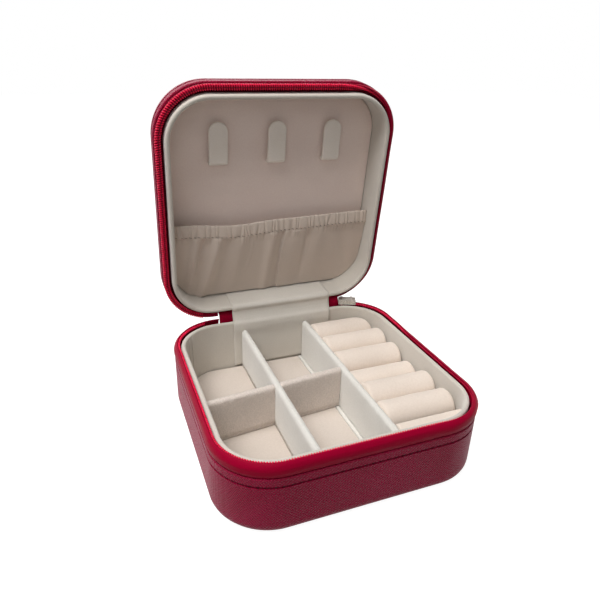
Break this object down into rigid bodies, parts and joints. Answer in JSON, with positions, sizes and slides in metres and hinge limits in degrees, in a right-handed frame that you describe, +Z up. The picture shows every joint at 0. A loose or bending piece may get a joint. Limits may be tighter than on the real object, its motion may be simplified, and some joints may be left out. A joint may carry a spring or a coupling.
{
  "type": "zip-around travel jewelry box",
  "caption": "Small square hinged-lid case with a zip edge, divided velvet-lined base, ring rolls, and a lid with necklace hooks and a gathered pocket.",
  "frame": {"origin": "middle of the base's flat underside, on the surface it stands on", "axes": "+X to the right seen from the opening side, +Y towards the hinge at the back, +Z up"},
  "size_m": [0.1002, 0.113, 0.1297],
  "materials": {
    "outer_leather": "fine cross-grained, semi-gloss",
    "board": "raw grey board, hidden",
    "lining_cloth": "short velvet, matt",
    "thread": "twisted sewing thread",
    "zip_tape": "ribbed woven tape",
    "zip_teeth": "moulded coil, semi-gloss",
    "pad_cloth": "short velvet, matt",
    "divider_cloth": "grained cloth, slight sheen",
    "roll_cloth": "smooth velvet over foam",
    "hinge_cloth": "thin woven strap",
    "slider_metal": "cast metal, worn satin",
    "panel_cloth": "short velvet, matt",
    "hook_cloth": "cloth-covered strip",
    "pocket_cloth": "thin satin-like cloth",
    "elastic": "woven elastic"
  },
  "bodies": {
    "base": {"base_cover": "outer_leather", "base_frame": "board", "base_lining": "lining_cloth", "base_stitching": "thread", "base_zip_tape": "zip_tape", "base_zip_teeth": "zip_teeth", "floor_pad": "pad_cloth", "ring_divider": "divider_cloth", "ring_bed": "pad_cloth", "ring_ledge": "divider_cloth", "ring_roll_1": "roll_cloth", "ring_roll_2": "roll_cloth", "ring_roll_3": "roll_cloth", "ring_roll_4": "roll_cloth", "ring_roll_5": "roll_cloth", "ring_roll_6": "roll_cloth", "hinge_strap_base": "hinge_cloth", "hinge_spine_base": "outer_leather"},
    "lid": {"lid_cover": "outer_leather", "lid_frame": "board", "lid_lining": "lining_cloth", "lid_stitching": "thread", "lid_zip_tape": "zip_tape", "lid_zip_teeth": "zip_teeth", "lid_panel": "panel_cloth", "necklace_hook_left": "hook_cloth", "necklace_hook_centre": "hook_cloth", "necklace_hook_right": "hook_cloth", "lid_pocket": "pocket_cloth", "pocket_elastic": "elastic", "hinge_strap_lid": "hinge_cloth", "hinge_spine_lid": "outer_leather"},
    "slider": {"zip_slider": "slider_metal"},
    "pull": {"zip_pull": "slider_metal"},
    "divider_cross": {"middle_divider": "divider_cloth", "cross_divider": "divider_cloth"}
  },
  "joints": [
    {"name": "lid_hinge", "type": "hinge", "parent": "base", "child": "lid", "pos_m": [0, 0.0487, 0.0306], "axis": [-1, 0, 0], "range_deg": [-83, 20]},
    {"name": "slider_travel", "type": "hinge", "parent": "base", "child": "slider", "pos_m": [0.029, 0.029, 0.028], "axis": [0, 0, -1], "range_deg": [0, 66]},
    {"name": "pull_swing", "type": "hinge", "parent": "slider", "child": "pull", "pos_m": [0.03778, 0.05074, 0.028], "axis": [0.9272, -0.3746, 0], "range_deg": [0, 90]},
    {"name": "divider_lift", "type": "slide", "parent": "base", "child": "divider_cross", "axis": [0, 0, 1], "range_m": [0, 0.0115]}
  ]
}
